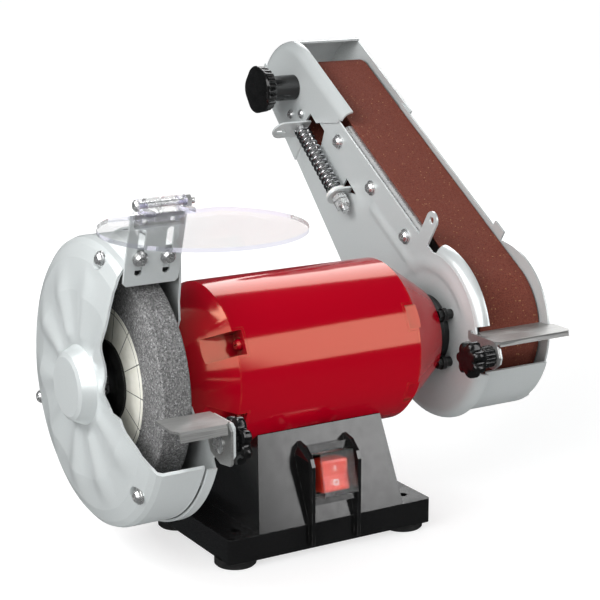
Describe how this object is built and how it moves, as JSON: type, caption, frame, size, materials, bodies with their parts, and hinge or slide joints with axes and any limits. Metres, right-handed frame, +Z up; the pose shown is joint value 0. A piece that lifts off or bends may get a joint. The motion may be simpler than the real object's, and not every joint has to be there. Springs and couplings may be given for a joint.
{
  "type": "bench grinder",
  "caption": "Bench grinder with a guarded grinding wheel on one end of the motor and a narrow tilting belt sander on the other.",
  "frame": {"origin": "middle of the four bench bolt holes, on the bench surface under the feet", "axes": "+Z up; +X along the motor shaft from the grinding wheel to the belt sander; -Y towards the user"},
  "size_m": [0.3621, 0.4077, 0.3073],
  "materials": {
    "red_paint": "gloss",
    "black_paint": "satin",
    "silver_paint": "satin metallic",
    "bare_steel": "brushed",
    "zinc_steel": "zinc plated",
    "blued_steel": "black oxide",
    "bearing_steel": "polished",
    "laminations": "ground",
    "drum_cast": "turned",
    "copper": "enamelled wire",
    "grit_stone": "vitrified abrasive",
    "abrasive_cloth": "aluminium oxide grit on cloth",
    "label_paper": "coated paper",
    "black_plastic": "moulded",
    "red_switch": "translucent gloss",
    "clear_plastic": "clear polycarbonate",
    "white_nylon": "moulded",
    "capacitor_can": "moulded",
    "foot_rubber": "matte"
  },
  "bodies": {
    "machine": {"base_shell": "black_paint", "base_bottom_plate": "zinc_steel", "rubber_feet": "foot_rubber", "base_screws": "zinc_steel", "cable_gland": "black_plastic", "run_capacitor": "capacitor_can", "capacitor_clip": "zinc_steel", "switch_body": "black_plastic", "switch_bezel": "black_plastic", "switch_cover": "clear_plastic", "motor_barrel": "red_paint", "end_bell_left": "red_paint", "end_bell_right": "red_paint", "bell_screws": "red_paint", "stator_core": "laminations", "stator_windings": "copper", "bearing_outer_rings": "bearing_steel", "bearing_balls": "bearing_steel", "guard_back": "silver_paint", "guard_cover": "silver_paint", "guard_screws": "zinc_steel", "spark_screws": "zinc_steel", "wheel_rest_bolt": "zinc_steel", "arm_hub": "blued_steel"},
    "rotor": {"bearing_inner_rings": "bearing_steel", "rotor_core": "laminations", "shaft": "zinc_steel", "wheel_inner_flange": "blued_steel", "grinding_wheel": "grit_stone", "wheel_labels": "label_paper", "wheel_outer_flange": "blued_steel", "wheel_nut": "zinc_steel", "drive_drum": "drum_cast", "drum_nut": "zinc_steel"},
    "rocker": {"switch_rocker": "red_switch"},
    "spark_guard": {"spark_bracket": "silver_paint", "shield_hinge": "clear_plastic", "shield_hinge_screw": "zinc_steel"},
    "shield": {"eye_shield": "clear_plastic"},
    "wheel_table": {"wheel_rest": "bare_steel"},
    "wheel_table_knob": {"wheel_rest_knob": "black_plastic"},
    "arm": {"arm_clamp_ring": "blued_steel", "arm_clamp_bolts": "blued_steel", "sander_plate": "silver_paint", "sander_wrap": "silver_paint", "sander_side_cover": "silver_paint", "sander_screws": "zinc_steel", "platen": "bare_steel", "sanding_belt": "abrasive_cloth", "spring_washer": "white_nylon", "tension_spring": "bare_steel", "belt_rest_bolt": "zinc_steel"},
    "head": {"idler_head": "silver_paint", "head_screws": "zinc_steel", "idler_axle": "zinc_steel", "tension_bolt": "zinc_steel"},
    "roller": {"idler_roller": "bare_steel"},
    "tracking": {"tracking_knob": "black_plastic"},
    "belt_table": {"belt_rest": "bare_steel"},
    "belt_table_knob": {"belt_rest_knob": "black_plastic"}
  },
  "joints": [
    {"name": "rotor_spin", "type": "hinge", "parent": "machine", "child": "rotor", "pos_m": [0, 0, 0.123], "axis": [1, 0, 0], "continuous": true},
    {"name": "arm_swing", "type": "hinge", "parent": "machine", "child": "arm", "pos_m": [0.115, 0, 0.123], "axis": [1, 0, 0], "range_deg": [-32, 58]},
    {"name": "belt_tension", "type": "slide", "parent": "arm", "child": "head", "axis": [0, 0.7697, 0.6384], "range_m": [-0.01, 0], "stiffness_N_per_m": 2000, "springref_m": 0.02, "deforming": ["tension_spring"]},
    {"name": "idler_spin", "type": "hinge", "parent": "head", "child": "roller", "pos_m": [0.147, 0.1817, 0.27369], "axis": [1, 0, 0], "continuous": true},
    {"name": "tracking_turn", "type": "hinge", "parent": "head", "child": "tracking", "pos_m": [0.1, 0.1817, 0.27369], "axis": [1, 0, 0], "range_deg": [-360, 360]},
    {"name": "belt_rest_slide", "type": "slide", "parent": "arm", "child": "belt_table", "axis": [0, 1, 0], "range_m": [-0.007, 0.001]},
    {"name": "belt_rest_knob_turn", "type": "hinge", "parent": "arm", "child": "belt_table_knob", "pos_m": [0.1, -0.074, 0.1215], "axis": [1, 0, 0], "range_deg": [0, 720]},
    {"name": "wheel_rest_slide", "type": "slide", "parent": "machine", "child": "wheel_table", "axis": [0, 1, 0], "range_m": [-0.008, 0.002]},
    {"name": "wheel_rest_knob_turn", "type": "hinge", "parent": "machine", "child": "wheel_table_knob", "pos_m": [-0.09, -0.0945, 0.1035], "axis": [1, 0, 0], "range_deg": [0, 720]},
    {"name": "spark_guard_slide", "type": "slide", "parent": "machine", "child": "spark_guard", "axis": [0, -0.2974, 0.9548], "range_m": [-0.005, 0.007]},
    {"name": "shield_tilt", "type": "hinge", "parent": "spark_guard", "child": "shield", "pos_m": [-0.1235, -0.06021, 0.24503], "axis": [1, 0, 0], "range_deg": [-60, 18]},
    {"name": "switch_rock", "type": "hinge", "parent": "machine", "child": "rocker", "pos_m": [0, -0.04547, 0.05147], "axis": [1, 0, 0], "range_deg": [-14, 0]}
  ],
  "couplings": [
    {"joint": "idler_spin", "follows": "rotor_spin", "ratio": 2.8963}
  ]
}
